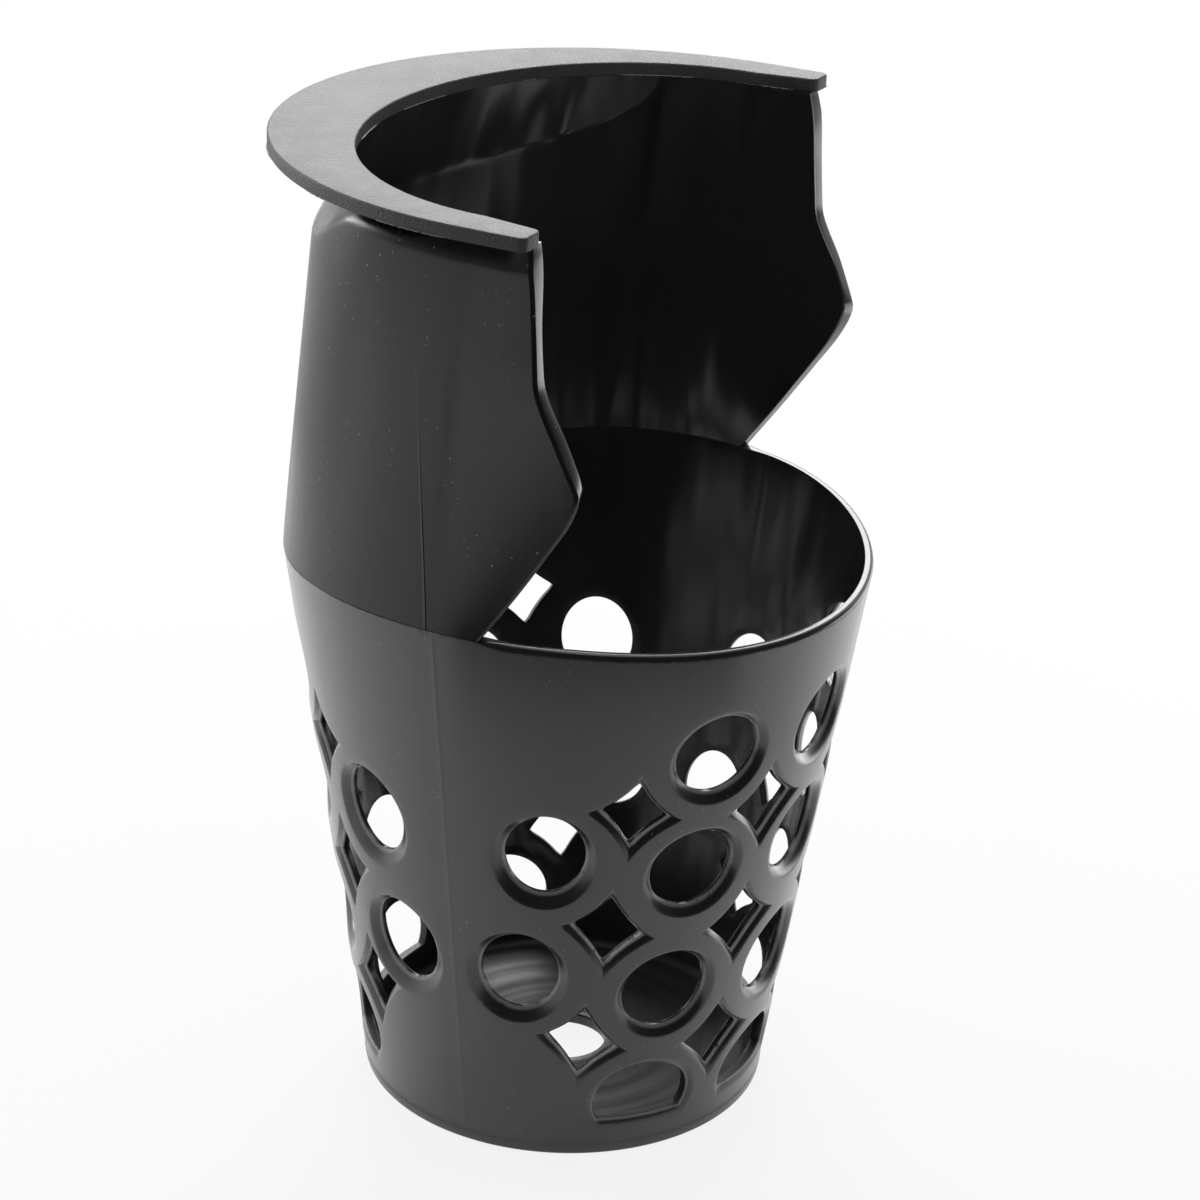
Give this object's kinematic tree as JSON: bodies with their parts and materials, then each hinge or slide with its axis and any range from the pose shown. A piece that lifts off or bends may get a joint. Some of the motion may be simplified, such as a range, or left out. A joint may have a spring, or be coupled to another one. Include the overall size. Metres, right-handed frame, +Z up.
{
  "type": "drop-in cup holder",
  "caption": "Black moulded drop-in cup holder: crescent flange to hang in a worktop cut-out, open-fronted saddle shell, and a tapered basket with round and star-shaped holes and a drain.",
  "frame": {"origin": "under the middle of the outline, on the plane of the base", "axes": "+Z up along the cup's axis, open front towards -Y, back of the flange towards +Y, +X to the right seen from the front"},
  "size_m": [0.0984, 0.0918, 0.1537],
  "materials": {
    "flange_black": "fine matte grain",
    "shell_black": "semi-gloss as moulded",
    "basket_black": "satin as moulded"
  },
  "bodies": {
    "root": {"flange_plate": "flange_black", "saddle_shell": "shell_black", "basket": "basket_black"}
  },
  "joints": []
}
